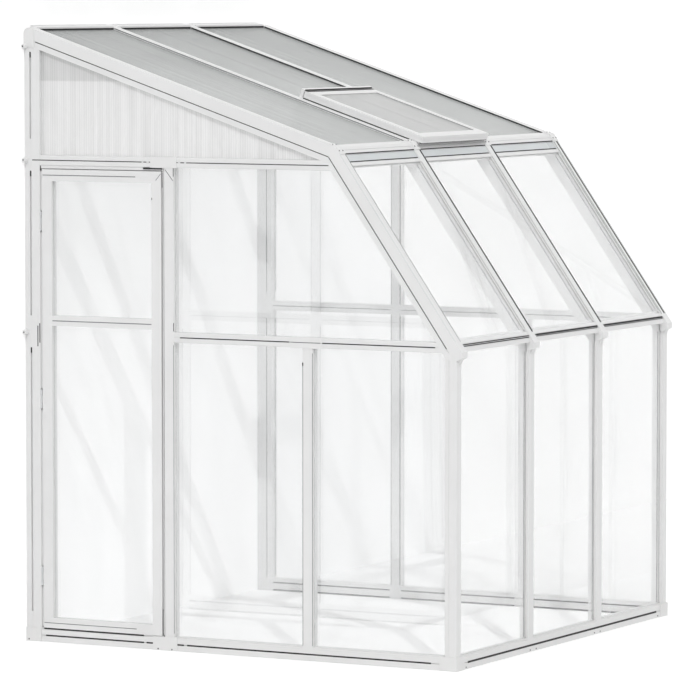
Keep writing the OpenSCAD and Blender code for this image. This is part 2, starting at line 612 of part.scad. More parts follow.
module vent_panel() color("lightgrey", 0.7) on_upper() block(vent_x0 + sash_bar - reach,
    vent_x0 + sash_w - sash_bar + reach, -sash_over + sash_bar - reach, sash_s1 - sash_bar + reach,
    sash_top - 3 - twin_t, sash_top - 3);

// bracket under the lower bar of the sash, with the pivot pin of the stay
module stay_bracket() color("dimgray") on_upper() translate([frame_w / 2, 0, 0]) union() {
    block(-5, 5, sash_bar - sash_over, stay_s - 7, sash_n0, stay_n + 6);
    for (side = [-1, 1]) {
        block(side > 0 ? 1.8 : -5, side > 0 ? 5 : -1.8, stay_s - 8, stay_s, sash_n0, stay_n + 6);
        translate([side > 0 ? 1.8 : -5, stay_s, stay_n]) rotate([0, 90, 0])
            cylinder(r = 6, h = 3.2);
    }
    translate([-5, stay_s, stay_n]) rotate([0, 90, 0]) cylinder(r = 2, h = 10);
}
// stay: a flat bar on edge with holes for the peg
module stay_arm() color("silver") on_upper() translate([frame_w / 2 - 1.5, 0, 0]) difference() {
    union() {
        block(0, 3, stay_s, stay_s + stay_l, stay_n - 6, stay_n + 6);
        for (s = [stay_s, stay_s + stay_l]) translate([0, s, stay_n]) rotate([0, 90, 0])
            cylinder(r = s == stay_s ? 5.7 : 6, h = 3);
    }
    translate([-1, stay_s - 20, stay_n - 7]) cube([5, 20 - 5.7, 14]);
    translate([-1, stay_s, stay_n]) rotate([0, 90, 0]) cylinder(r = 2.06, h = 5);
    for (k = [1 : 5]) translate([-1, stay_s + k * stay_l / 5, stay_n]) rotate([0, 90, 0])
        cylinder(r = 3.3, h = 5);
}

base_rail_front();
base_rail_left();
base_rail_right();
corner_post_left();
corner_post_right();
front_post_left();
front_post_right();
wall_post_left();
wall_post_right();
jamb_post();
gable_post_right();
half_post_left();
half_post_right();
head_rail_left();
head_rail_right();
mid_rail_left();
mid_rail_right();
eave_rail();
knee_rail();
wall_top_rail();
upper_rafter_1();
upper_rafter_2();
upper_rafter_3();
upper_rafter_4();
lower_rafter_1();
lower_rafter_2();
lower_rafter_3();
lower_rafter_4();
base_connectors();
rail_couplers();
knee_connectors();
eave_connectors();
ridge_caps();
front_panels();
side_panels_left();
side_panels_right();
upper_panel_left();
upper_panels_right();
gable_panel_left();
gable_panel_right();
steep_panels();
roof_panels();
vent_curb();
vent_trimmer();
door_stop();
door_catch();
door_hinge_frame_leaves();
vent_hinge_frame_leaves();
stay_peg();
door_hinge_stile();
door_latch_stile();
door_rails();
door_upper_panel();
door_lower_panel();
door_hinge_leaves();
vent_sash();
vent_panel();
vent_hinge_leaves();
stay_bracket();
stay_arm();
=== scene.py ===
"""Looks of a lean-to greenhouse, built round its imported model. Lengths are in metres."""

import json
import logging
import math
from dataclasses import dataclass
from enum import Enum

import bmesh
import bpy
import numpy as np
from bpy.types import Material, Node, NodeSocket, NodeTree
from mathutils import Matrix, Vector


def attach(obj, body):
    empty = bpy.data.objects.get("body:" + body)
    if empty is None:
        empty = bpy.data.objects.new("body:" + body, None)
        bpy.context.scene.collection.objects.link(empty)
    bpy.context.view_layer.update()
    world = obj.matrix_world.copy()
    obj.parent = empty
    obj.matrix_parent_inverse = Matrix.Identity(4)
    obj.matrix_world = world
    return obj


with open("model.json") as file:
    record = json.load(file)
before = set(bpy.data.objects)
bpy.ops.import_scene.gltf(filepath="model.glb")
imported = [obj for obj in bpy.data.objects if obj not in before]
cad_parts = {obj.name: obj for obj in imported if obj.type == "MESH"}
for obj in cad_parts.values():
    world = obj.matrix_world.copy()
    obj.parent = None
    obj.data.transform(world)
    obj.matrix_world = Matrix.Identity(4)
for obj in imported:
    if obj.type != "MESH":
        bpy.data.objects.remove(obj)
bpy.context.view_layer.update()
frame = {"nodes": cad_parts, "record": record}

LOG = logging.getLogger("greenhouse")


class Body(Enum):
    """Moving bodies that a piece can ride on."""

    FRAME = "frame"
    DOOR = "door"
    VENT = "vent"


class Slot(Enum):
    """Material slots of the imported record."""

    PAINT = "white_frame"
    MOULDED = "moulded_connector"
    CLEAR = "clear_panel"
    TWIN = "twin_wall_panel"
    STEEL = "hinge_metal"
    DARK = "dark_fitting"


@dataclass(frozen=True)
class Layout:
    """Main sizes of the greenhouse and the planes that its parts are set out from.

    Points are drawn with x = 0 on the door gable, y = 0 on the front wall and z = 0 on the ground.
    """

    width: float = 1.940
    depth: float = 1.940
    eave_z: float = 1.229
    eave_out: float = 0.0225
    steep_run: float = 0.551
    steep_pitch: float = math.radians(54.74)
    upper_pitch: float = math.radians(18.19)
    rafter_w: float = 0.048
    post_w: float = 0.046
    rail_h: float = 0.040
    sash_w: float = 0.582
    sash_l: float = 0.565
    sash_over: float = 0.025
    sash_top: float = 0.031
    head_drop: float = 0.0924

    @property
    def knee(self) -> np.ndarray:
        """The [y, z] point where both slopes meet."""
        return np.array([self.steep_run - self.eave_out,
                         self.eave_z + self.steep_run * math.tan(self.steep_pitch)])

    @property
    def bar_x(self) -> tuple[float, ...]:
        """Left sides of the four roof bars."""
        side = (self.width - self.sash_w) / 2
        return (0.0, side - self.rafter_w, side + self.sash_w, self.width - self.rafter_w)

    @property
    def head_z(self) -> float:
        """Underside of the head rail."""
        return self.knee[1] - self.head_drop

    @property
    def inner_x(self) -> float:
        """Inner faces of the far gable's bars."""
        return self.width - self.rail_h

    def roof_z(self, y: float) -> float:
        """Height of the shallow slope over a drawn y."""
        return self.upper(0, (y - self.knee[0]) / math.cos(self.upper_pitch), 0)[2]

    def steep(self, x: float, s: float, n: float) -> np.ndarray:
        """Point [x, y, z] at x along the wall, s down the steep slope from the knee and n out of it."""
        c, d = math.cos(self.steep_pitch), math.sin(self.steep_pitch)
        return np.array([x, self.knee[0] - s * c - n * d, self.knee[1] - s * d + n * c])

    def upper(self, x: float, s: float, n: float) -> np.ndarray:
        """Point [x, y, z] at x along the wall, s up the shallow slope from the knee and n out of it."""
        c, d = math.cos(self.upper_pitch), math.sin(self.upper_pitch)
        return np.array([x, self.knee[0] + s * c - n * d, self.knee[1] + s * d + n * c])

    def out_of(self, slope) -> np.ndarray:
        """Direction square to a slope, given as its point method."""
        return slope(0.0, 0.0, 1.0) - slope(0.0, 0.0, 0.0)

    def moved(self, points: np.ndarray) -> np.ndarray:
        """Moves drawn points to the shared frame, whose origin is the middle of the base."""
        return points - np.array([self.width / 2, (self.depth - self.eave_out) / 2, 0.0])


LAYOUT = Layout()
LEFT, RIGHT, FRONT, UP = (np.array(v) for v in ((-1.0, 0, 0), (1.0, 0, 0), (0, -1.0, 0), (0, 0, 1.0)))
GABLES = ((0.0, LEFT), (LAYOUT.width, RIGHT))

# Levels of a strip over the face that carries it: its hidden back, deep in a slot, and how far it stands out.
BACK, DEEP = -0.0004, -0.004
FLUSH, THIN, RISE, PROUD = 0.0003, 0.0004, 0.0005, 0.0006
CUT = 0.0004  # size of a strip's cut corners
CREASE = math.radians(35.0)  # angle above which an edge stays sharp


class Shell:
    """Collects closed surfaces and turns them into one mesh object."""

    def __init__(self) -> None:
        """Starts with no surfaces."""
        self.points: list[np.ndarray] = []
        self.faces: list[list[int]] = []
        self.count = 0

    def grid(self, rings: np.ndarray) -> None:
        """Adds a closed tube over a grid of points, with flat ends.

        Args:
            rings: M rings of K points, (M, K, 3). Quad (i, j) joins points j and j + 1 of rings i and i + 1.
        """
        m, k, _ = rings.shape
        i, j = np.meshgrid(np.arange(m - 1), np.arange(k), indexing="ij")
        nxt = (j + 1) % k
        quads = np.stack([i * k + j, i * k + nxt, (i + 1) * k + nxt, (i + 1) * k + j], -1)
        faces = quads.reshape(-1, 4).tolist() + [list(range(k))[::-1], list(range((m - 1) * k, m * k))]
        self.points.append(rings.reshape(-1, 3))
        self.faces += [[i + self.count for i in f] for f in faces]
        self.count += m * k

    def sweep(self, outline: np.ndarray, path, across: np.ndarray, out: np.ndarray) -> None:
        """Carries a closed outline along a path.

        Each ring is path point + u times across + v times out, for the outline's points (u, v).

        Args:
            outline: (K, 2) points of the section.
            path: (M, 3) points.
            across: direction of u.
            out: direction of v.
        """
        self.grid(np.array(path)[:, None] + (outline[:, :1] * across + outline[:, 1:] * out)[None])

    def strip(self, start, end, out, width: float, high: float, low: float = BACK) -> None:
        """Adds a flat strip with cut edges from start to end, facing out, from level low to level high."""
        path = np.array([start, end], float)
        across = np.cross(path[1] - path[0], out)
        self.sweep(flat(width, low, high), path, across / np.linalg.norm(across), out / np.linalg.norm(out))

    def uprights(self, x: float, out: np.ndarray, lines, low: float = BACK) -> None:
        """Adds upright strips at one x, given as y, foot, top, width and level of the face."""
        for y, z0, z1, width, high in lines:
            self.strip([x, y, z0], [x, y, z1], out, width, high, low)

    def levels(self, x: float, out: np.ndarray, lines, low: float = BACK) -> None:
        """Adds level strips at one x, given as z, two ends along y, width and level of the face."""
        for z, y0, y1, width, high in lines:
            self.strip([x, y0, z], [x, y1, z], out, width, high, low)

    def along(self, slope, x: float, n: float, run: tuple, out: np.ndarray, width: float,
              high: float = RISE) -> None:
        """Adds a strip along a slope, given as its point method, between the two places of the run."""
        self.strip(slope(x, run[0], n), slope(x, run[1], n), out, width, high)

    def across(self, slope, ends: tuple, s: float, n: float, out: np.ndarray, width: float, high: float,
               low: float = BACK) -> None:
        """Adds a strip across a slope, given as its point method, from one x to the other."""
        self.strip(slope(ends[0], s, n), slope(ends[1], s, n), out, width, high, low)

    def tab(self, root: np.ndarray, out: np.ndarray, reach: float, half_w: float, half_h: float) -> None:
        """Adds a rounded tab.

        Ring at share t is root + reach times t along out, with the half sizes times (1 - 0.35 t^3), on the outline
        |u / w|^4 + |v / h|^4 = 1.

        Args:
            root: middle of its foot.
            out: direction of its length.
            reach: length.
            half_w: half size along y.
            half_h: half size along z.
        """
        t = np.linspace(0, 1, 7)
        a = np.linspace(0, 2 * math.pi, 20, endpoint=False)
        u = np.sign(np.cos(a)) * np.abs(np.cos(a)) ** 0.5 * half_w
        v = np.sign(np.sin(a)) * np.abs(np.sin(a)) ** 0.5 * half_h
        shrink = (1 - 0.35 * t ** 3)[:, None, None]
        ring = u[:, None] * -FRONT + v[:, None] * UP
        self.grid(root + reach * t[:, None, None] * out + shrink * ring[None])

    def screw(self, r: float, centre: np.ndarray, axis: np.ndarray) -> None:
        """Adds a pan head with a round recess.

        Each ring is centre + height along the axis + radius times (cos a, sin a) in the plane square to it, for the
        (radius, height) pairs of the profile, from the recess floor over the crown to the foot.

        Args:
            r: its radius.
            centre: middle of its seat.
            axis: direction of the heights.
        """
        profile = np.array([[0.30, 0.22], [0.34, 0.56], [0.62, 0.52], [0.88, 0.36], [1.0, 0.12], [1.0, -0.1]]) * r
        w = axis / np.linalg.norm(axis)
        u = np.cross(w, UP if abs(w[2]) < 0.9 else RIGHT)
        u /= np.linalg.norm(u)
        a = np.linspace(0, 2 * math.pi, 12, endpoint=False)
        circle = np.cos(a)[:, None] * u + np.sin(a)[:, None] * np.cross(w, u)
        self.grid(centre + profile[:, 0, None, None] * circle[None] + profile[:, 1, None, None] * w)

    def piece(self, name: str, finish: tuple[Material, Slot], body: Body = Body.FRAME) -> None:
        """Makes the mesh object, with outward faces, and lets it ride on its body.

        Args:
            name: name of the piece.
            finish: its material and the record's slot for it.
            body: body that it moves with.
        """
        mesh = bpy.data.meshes.new(name)
        mesh.from_pydata(LAYOUT.moved(np.concatenate(self.points)).tolist(), [], self.faces)
        work = bmesh.new()
        work.from_mesh(mesh)
        bmesh.ops.recalc_face_normals(work, faces=work.faces)
        work.to_mesh(mesh)
        work.free()
        mesh.polygons.foreach_set("use_smooth", np.ones(len(mesh.polygons), bool))
        mesh.set_sharp_from_angle(angle=CREASE)
        mesh.materials.append(finish[0])
        made = add_object(name, mesh)
        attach(made, body.value)
        LOG.info("%s: %d faces, rides on %s", name, len(mesh.polygons), body.value)


def bead(width: float, height: float) -> np.ndarray:
    """Section of a bead: u = half width times cos t, v = height times sin t to the power 0.6, on a flat foot."""
    t = np.linspace(0, math.pi, 7)
    dome = np.stack([width / 2 * np.cos(t), height * np.sin(t) ** 0.6], 1)
    return np.concatenate([dome, [[-width / 2, -1e-4], [width / 2, -1e-4]]])


def flat(width: float, low: float, high: float) -> np.ndarray:
    """Section of a flat strip from v = low to v = high, with its two upper corners cut."""
    h = width / 2
    return np.array([[-h, low], [h, low], [h, high - CUT], [h - CUT, high], [CUT - h, high], [-h, high - CUT]])


class Tree:
    """Short ways to build a node tree."""

    def __init__(self, tree: NodeTree) -> None:
        """Keeps the tree and empties it."""
        self.tree = tree
        tree.nodes.clear()

    def node(self, kind: str, inputs: dict | None = None, **settings) -> Node:
        """Adds a node of type ShaderNode + kind, with its inputs, by name or number, and its properties."""
        made = self.tree.nodes.new("ShaderNode" + kind)
        for key, value in settings.items():
            setattr(made, key, value)
        self.feed(made, inputs or {})
        return made

    def put(self, value, socket: NodeSocket) -> None:
        """Links an output socket to an input, or sets the input's value."""
        if isinstance(value, NodeSocket):
            self.tree.links.new(value, socket)
        else:
            socket.default_value = value

    def math(self, operation: str, a, b=None, c=None) -> NodeSocket:
        """Result of a Math node on two or three values or sockets."""
        given = {i: v for i, v in enumerate((a, b, c)) if v is not None}
        return self.node("Math", given, operation=operation).outputs[0]

    def ramp(self, value, low: float, high: float, to_low: float = 0.0, to_high: float = 1.0) -> NodeSocket:
        """A value mapped smoothly from low and high to two results, and held beyond them."""
        return self.node("MapRange", {0: value, 1: low, 2: high, 3: to_low, 4: to_high},
                         interpolation_type="SMOOTHSTEP").outputs[0]

    def blend(self, share, a, b) -> NodeSocket:
        """Colour mixed from a to b by share."""
        return self.node("Mix", {0: share, 6: a, 7: b}, data_type="RGBA").outputs[2]

    def place(self) -> NodeSocket:
        """Object coordinates, in metres."""
        return self.node("TexCoord").outputs["Object"]

    def noise(self, vector, scale, detail: float, rough: float = 0.5) -> NodeSocket:
        """Value of a noise texture."""
        given = {"Vector": vector, "Scale": scale, "Detail": detail, "Roughness": rough}
        return self.node("TexNoise", given).outputs[0]

    def stretched(self, vector, factors: tuple) -> NodeSocket:
        """Coordinates multiplied by a factor each."""
        return self.node("VectorMath", {0: vector, 1: factors}, operation="MULTIPLY").outputs[0]

    def use(self, group: NodeTree, *inputs) -> Node:
        """Places a node group with values or sockets for its inputs."""
        return self.node("Group", dict(enumerate(inputs)), node_tree=group)

    def feed(self, node: Node, inputs: dict) -> None:
        """Gives a node its inputs, by name or number."""
        for key, value in inputs.items():
            self.put(value, node.inputs[key])

    def bump(self, height, strength: float, distance: float) -> NodeSocket:
        """Normal of a small relief."""
        return self.node("Bump", {"Strength": strength, "Distance": distance, "Height": height}).outputs[0]

    def seen(self) -> NodeSocket:
        """1 where the camera sees a surface, straight, in a reflection or through glass."""
        paths = self.node("LightPath").outputs
        through = self.math("MAXIMUM", paths["Is Glossy Ray"], paths["Is Transmission Ray"])
        return self.math("MAXIMUM", paths["Is Camera Ray"], through)


@dataclass(frozen=True)
class Dust:
    """Dust near the ground: largest share, height that it reaches, weight of its fine runs, colour and roughness."""

    most: float = 0.05
    reach: float = 0.28
    runs: float = 0.4
    colour: tuple = (0.42, 0.39, 0.34, 1.0)
    rough: float = 0.5


class Effects:
    """Node groups shared by the finishes."""

    slow_scale: float = 2.7
    dust_scale: float = 9.0
    dust_ends: tuple = (0.5, 1.6)
    run_stretch: tuple = (260.0, 260.0, 3.0)
    brush_stretch: tuple = (900.0, 900.0, 18.0)
    web_ends: tuple = (0.36, 0.48)
    wide_scale: float = 0.31
    own_share: float = 0.45

    def __init__(self) -> None:
        """Builds each group once."""
        self.grain = self._grain()
        self.dust = self._dust()
        self.flutes = self._flutes()
        self.brush = self._brush()

    def _start(self, name: str, inputs: dict[str, str], outputs: tuple[str, ...]) -> tuple:
        """Opens a group with inputs, by name and kind, and number outputs: its tree and both rows of sockets."""
        group = bpy.data.node_groups.new(name, "ShaderNodeTree")
        for label, kind in inputs.items():
            group.interface.new_socket(name=label, in_out="INPUT", socket_type=f"NodeSocket{kind}")
        for label in outputs:
            group.interface.new_socket(name=label, in_out="OUTPUT", socket_type="NodeSocketFloat")
        tree = Tree(group)
        return tree, group.nodes.new("NodeGroupInput").outputs, group.nodes.new("NodeGroupOutput").inputs

    def _grain(self) -> NodeTree:
        """Fine skin of a powder coat or a moulding: small bumps, and a slow change of tone."""
        t, i, o = self._start("skin_grain", {"Place": "Vector", "Scale": "Float"}, ("Height", "Tone"))
        t.put(t.noise(i[0], i[1], 3.0, 0.55), o[0])
        t.put(t.ramp(t.noise(i[0], self.slow_scale, 4.0, 0.6), 0.3, 0.7), o[1])
        return t.tree

    def _dust(self) -> NodeTree:
        """Dust that thins out with height over the ground, with a broken edge and fine runs."""
        t, i, o = self._start("ground_dust", {"Place": "Vector", "Reach": "Float"}, ("Mask", "Runs"))
        apart = t.node("SeparateXYZ", {0: i[0]})
        cloud = t.noise(i[0], self.dust_scale, 5.0)
        level = t.math("DIVIDE", apart.outputs[2], i[1])
        t.put(t.ramp(t.math("ADD", level, cloud), *self.dust_ends, 1.0, 0.0), o[0])
        t.put(t.ramp(t.noise(t.stretched(i[0], self.run_stretch), 1.0, 2.0), 0.5, 0.75), o[1])
        return t.tree

    def _flutes(self) -> NodeTree:
        """Flutes of a twin-wall sheet: a web each pitch, a tone of its own for each flute, and its swell."""
        t, i, o = self._start("sheet_flutes", {"Across": "Float", "Pitch": "Float", "Place": "Vector"},
                              ("Web", "Tone", "Height"))
        turn = t.math("DIVIDE", i[0], i[1])
        mirrored = t.math("ABSOLUTE", t.math("SUBTRACT", t.math("FRACT", turn), 0.5))
        own = t.node("TexWhiteNoise", {1: t.math("FLOOR", turn)}, noise_dimensions="1D").outputs[0]
        wide = t.node("TexNoise", {1: t.math("MULTIPLY", turn, self.wide_scale), "Scale": 1.0, "Detail": 3.0},
                      noise_dimensions="1D").outputs[0]
        slow = t.math("MULTIPLY", t.ramp(wide, 0.3, 0.7), 1 - self.own_share)
        tone = t.math("MULTIPLY_ADD", own, self.own_share, slow)
        fade = t.ramp(t.noise(i[2], 5.0, 2.0), 0.2, 0.8, 0.6, 1.0)
        t.put(t.ramp(mirrored, *self.web_ends), o[0])
        t.put(t.math("MULTIPLY", tone, fade), o[1])
        t.put(t.math("COSINE", t.math("MULTIPLY", turn, 2 * math.pi)), o[2])
        return t.tree

    def _brush(self) -> NodeTree:
        """Long fine scratches of rolled or brushed metal."""
        t, i, o = self._start("brushed_lines", {"Place": "Vector"}, ("Height", "Tone"))
        lines = t.noise(t.stretched(i[0], self.brush_stretch), 1.0, 4.0)
        t.put(lines, o[0])
        t.put(t.ramp(lines, 0.35, 0.65), o[1])
        return t.tree

    def soil(self, t: Tree, place, dust: Dust, base, rough) -> dict:
        """A Principled shader's colour and roughness, given clean, under dust."""
        mask, runs = t.use(self.dust, place, dust.reach).outputs
        share = t.math("MULTIPLY", t.math("MULTIPLY_ADD", runs, dust.runs, mask), dust.most)
        return {"Base Color": t.blend(share, base, dust.colour),
                "Roughness": t.math("MULTIPLY_ADD", share, dust.rough, rough)}


def add_object(name: str, data) -> bpy.types.Object:
    """New object in the scene."""
    made = bpy.data.objects.new(name, data)
    bpy.context.scene.collection.objects.link(made)
    return made


def new_material(name: str) -> tuple[Material, Tree, Node]:
    """Empty material of that name, with its tree and its Principled shader."""
    made = bpy.data.materials.new(name)
    made.use_nodes = True
    tree = Tree(made.node_tree)
    shader = tree.node("BsdfPrincipled")
    tree.node("OutputMaterial", {0: shader.outputs[0]})
    return made, tree, shader


@dataclass(frozen=True)
class Finish:
    """Base of the finishes: a name and a colour."""

    name: str
    colour: tuple

    def inputs(self, effects: Effects, t: Tree) -> dict:
        """Values and sockets for the shader's inputs."""
        raise NotImplementedError

    def build(self, effects: Effects) -> Material:
        """Builds the material with the shared node groups."""
        made, tree, shader = new_material(self.name)
        tree.feed(shader, self.inputs(effects, tree))
        return made

    def tint(self, share: float) -> tuple[float, ...]:
        """The colour made lighter or darker by a share, as RGBA."""
        return (*(min(1.0, c * share) for c in self.colour), 1.0)


@dataclass(frozen=True)
class SkinFinish(Finish):
    """Opaque finish with a fine skin: powder coat, moulded plastic or rubber."""

    roughness: float
    grain: float
    depth: float
    spread: float = 0.02
    dust: Dust = Dust()
    rough_spread: float = 0.08
    relief: float = 0.35

    def inputs(self, effects: Effects, t: Tree) -> dict:
        """Values and sockets for the shader's inputs."""
        place = t.place()
        height, tone = t.use(effects.grain, place, self.grain).outputs
        base = t.blend(tone, self.tint(1 - self.spread), self.tint(1 + self.spread))
        rough = t.math("MULTIPLY_ADD", tone, self.rough_spread, self.roughness - self.rough_spread / 2)
        return {**effects.soil(t, place, self.dust, base, rough), "Normal": t.bump(height, self.relief, self.depth)}


@dataclass(frozen=True)
class ClearFinish(Finish):
    """Clear flat sheet, slightly wavy, slightly dusty at its foot, and almost open to shadow rays."""

    alpha: float
    roughness: float = 0.03
    transmission: float = 0.82
    ior: float = 1.49
    shadow_alpha: float = 0.02
    dust: Dust = Dust(0.10, 0.12, 0.25, (0.62, 0.60, 0.56, 1.0), 0.6)
    swell_scale: float = 2.2
    relief: float = 0.12
    depth: float = 0.004

    def inputs(self, effects: Effects, t: Tree) -> dict:
        """Values and sockets for the shader's inputs."""
        place = t.place()
        normal = t.bump(t.noise(place, self.swell_scale, 1.0), self.relief, self.depth)
        shaded = t.node("LightPath").outputs["Is Shadow Ray"]
        alpha = t.math("MULTIPLY_ADD", shaded, self.shadow_alpha - self.alpha, self.alpha)
        return {**effects.soil(t, place, self.dust, self.tint(1.0), self.roughness), "Normal": normal,
                "Transmission Weight": self.transmission, "IOR": self.ior, "Alpha": alpha}


@dataclass(frozen=True)
class FlutedFinish(Finish):
    """Translucent twin-wall sheet with fine flutes.

    The flutes repeat along the axis across. painted_shade holds two heights and a share: a painted shade, for the
    shade under the top rail, darkens the colour from the first height to the second, down to that share. cloud is the
    weight of its dark clouds.
    """

    across: str
    alpha: float
    pitch: float = 0.0105
    contrast: float = 0.10
    roughness: float = 0.24
    painted_shade: tuple = (8.0, 9.0, 1.0)
    painted_shade_colour: tuple = (0.02, 0.025, 0.025, 1.0)
    cloud: float = 0.05
    cloud_colour: tuple = (0.04, 0.05, 0.05, 1.0)
    cloud_scale: float = 2.4
    web_share: float = 0.28
    web_tint: float = 0.74
    web_rough: float = 0.14
    web_alpha: float = 0.12
    tone_alpha: float = 0.06
    shadow_loss: float = 0.94
    relief: float = 0.35
    depth: float = 0.0008

    def inputs(self, effects: Effects, t: Tree) -> dict:
        """Values and sockets for the shader's inputs."""
        place = t.place()
        apart = t.node("SeparateXYZ", {0: place})
        web, tone, height = t.use(effects.flutes, apart.outputs[self.across], self.pitch, place).outputs
        base = t.blend(tone, self.tint(1 - self.contrast), self.tint(1 + self.contrast))
        base = t.blend(t.math("MULTIPLY", web, self.web_share), base, self.tint(self.web_tint))
        # painted shade: the colour darkens towards the top of the sheet, under the top rail
        high = t.ramp(apart.outputs[2], *self.painted_shade[:2])
        base = t.blend(t.math("MULTIPLY", high, 1 - self.painted_shade[2]), base, self.painted_shade_colour)
        cloud = t.ramp(t.noise(place, self.cloud_scale, 3.0), 0.35, 0.65)
        base = t.blend(t.math("MULTIPLY", cloud, self.cloud), base, self.cloud_colour)
        rough = t.math("MULTIPLY_ADD", web, self.web_rough, self.roughness)
        seen = t.math("MULTIPLY_ADD", tone, self.tone_alpha, t.math("MULTIPLY_ADD", web, self.web_alpha, self.alpha))
        shaded = t.node("LightPath").outputs["Is Shadow Ray"]
        alpha = t.math("MULTIPLY", seen, t.math("MULTIPLY_ADD", shaded, -self.shadow_loss, 1.0))
        return {"Base Color": base, "Roughness": rough, "Alpha": alpha,
                "Normal": t.bump(height, self.relief, self.depth)}


@dataclass(frozen=True)
class SteelFinish(Finish):
    """Satin metal with fine long scratches."""

    roughness: float
    shares: tuple = (0.86, 1.08)
    rough_spread: float = 0.14
    relief: float = 0.25
    depth: float = 0.0002

    def inputs(self, effects: Effects, t: Tree) -> dict:
        """Values and sockets for the shader's inputs."""
        height, tone = t.use(effects.brush, t.place()).outputs
        return {"Base Color": t.blend(tone, *(self.tint(share) for share in self.shares)), "Metallic": 1.0,
                "Roughness": t.math("MULTIPLY_ADD", tone, self.rough_spread, self.roughness),
                "Normal": t.bump(height, self.relief, self.depth)}


class Finishes:
    """All finishes of the greenhouse, built once."""

    def __init__(self) -> None:
        """Builds the node groups and the materials."""
        effects = Effects()
        skins = (SkinFinish("white_powder_coat", (0.83, 0.83, 0.83), 0.42, 1100.0, 0.00012),
                 SkinFinish("white_moulding", (0.83, 0.83, 0.828), 0.5, 700.0, 0.0002, 0.015),
                 SkinFinish("dark_moulding", (0.05, 0.05, 0.052), 0.55, 800.0, 0.0002, 0.1, Dust(0.06)),
                 # black rubber and grey seal colour real seals and also dark strips laid as painted shade in slots,
                 # gaps and channels
                 SkinFinish("black_rubber", (0.012, 0.012, 0.013), 0.75, 1500.0, 0.0001, 0.2, Dust(0.04)),
                 SkinFinish("grey_seal_and_shade", (0.20, 0.205, 0.21), 0.65, 1500.0, 0.0001, 0.1, Dust(0.04)),
                 SkinFinish("cool_strip", (0.66, 0.69, 0.70), 0.3, 900.0, 0.0001, 0.05))
        paint, moulded, dark, rubber, grey, cool = (skin.build(effects) for skin in skins)
        self.paint, self.moulded, self.cool = ((made, Slot.MOULDED) for made in (paint, moulded, cool))
        self.rubber, self.grey, self.screw = (rubber, Slot.DARK), (grey, Slot.DARK), (dark, Slot.STEEL)
        clear = ClearFinish("clear_sheet", (0.85, 0.86, 0.865), 0.30).build(effects)
        # The roof and vent copies of the one twin-wall sheet are darker than the gable's: painted shade of the dim
        # inside seen through them.
        roof = FlutedFinish("twin_wall_roof", (0.58, 0.597, 0.59), "X", 0.80,
                            painted_shade=(2.10, 2.42, 0.80), cloud=0.07).build(effects)
        vent = FlutedFinish("twin_wall_vent", (0.635, 0.64, 0.635), "X", 0.80).build(effects)
        gable = FlutedFinish("twin_wall_gable", (0.92, 0.92, 0.92), "Y", 0.56, contrast=0.07,
                             painted_shade=(2.248, 2.256, 0.80), cloud=0.0).build(effects)
        steel = SteelFinish("satin_steel", (0.62, 0.63, 0.64), 0.32).build(effects)
        self.by_slot = dict(zip(Slot, (paint, moulded, clear, roof, steel, dark)))
        self.by_node = {"vent_panel": vent, "gable_panel_left": gable, "gable_panel_right": gable}

    def dress(self) -> None:
        """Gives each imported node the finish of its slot, or its own."""
        slots = {p["node"]: Slot(p["material_slot"]) for p in frame["record"]["subparts"]}
        for name, node in frame["nodes"].items():
            node.data.materials.clear()
            node.data.materials.append(self.by_node.get(name, self.by_slot[slots[name]]))
        LOG.info("dressed %d packed nodes", len(slots))


class Trim:
    """Base of the groups of thin pieces."""

    def build(self, finishes: Finishes) -> None:
        """Makes the pieces of the group.

        Args:
            finishes: the finishes to choose from.
        """
        raise NotImplementedError


@dataclass
class GableSlotShade(Trim):
    """Dark strips in the long slots of both gables, inside the far gable and along the front base rail: painted
    shade.

    base, mid, head and the inner ones hold height and width. A run is the front end and the wall end of a strip.
    """

    base: tuple = (0.026, 0.0060)
    mid: tuple = (1.246, 0.0042)
    head: tuple = (LAYOUT.head_z + 0.020, 0.0035)
    front_w: float = 0.0076
    front_end: float = 0.100
    inner_mid: tuple = (1.246, 0.0036)
    inner_base: tuple = ((0.036, 0.0058), (0.0036, 0.0068))
    base_runs: tuple = ((0.108, 1.194), (1.208, 1.238), (1.349, 1.380), (1.392, 1.849))
    mid_runs: tuple = ((0.092, 0.585), (0.7285, 1.223))
    head_runs: tuple = ((0.557, 1.192), (1.203, 1.219), (1.232, 1.239), (1.349, 1.363), (1.375, 1.388),
                        (1.397, 1.904))
    inner_runs: tuple = ((0.055, 0.640), (0.690, 1.232), (1.288, 1.862))

    def build(self, finishes: Finishes) -> None:
        """Makes the strips of painted slot shade."""
        base, rails, inner = Shell(), Shell(), Shell()
        sets = [(x, out, shell, line, PROUD, runs) for x, out in GABLES for shell, line, runs in (
            (base, self.base, self.base_runs), (rails, self.mid, self.mid_runs), (rails, self.head, self.head_runs))]
        sets += [(LAYOUT.inner_x, LEFT, shell, line, RISE, self.inner_runs)
                 for shell, line in ((inner, self.inner_mid), *((base, low) for low in self.inner_base))]
        for x, out, shell, (z, width), level, runs in sets:
            shell.levels(x, out, [(z, *run, width, level) for run in runs])
        base.strip(*([x, 0, self.base[0]] for x in (self.front_end, LAYOUT.width - self.front_end)), FRONT,
                   self.front_w, PROUD)
        base.piece("base_slot_shade", finishes.rubber)
        rails.piece("rail_slot_shade", finishes.rubber)
        inner.piece("inner_rail_shade", finishes.grey)


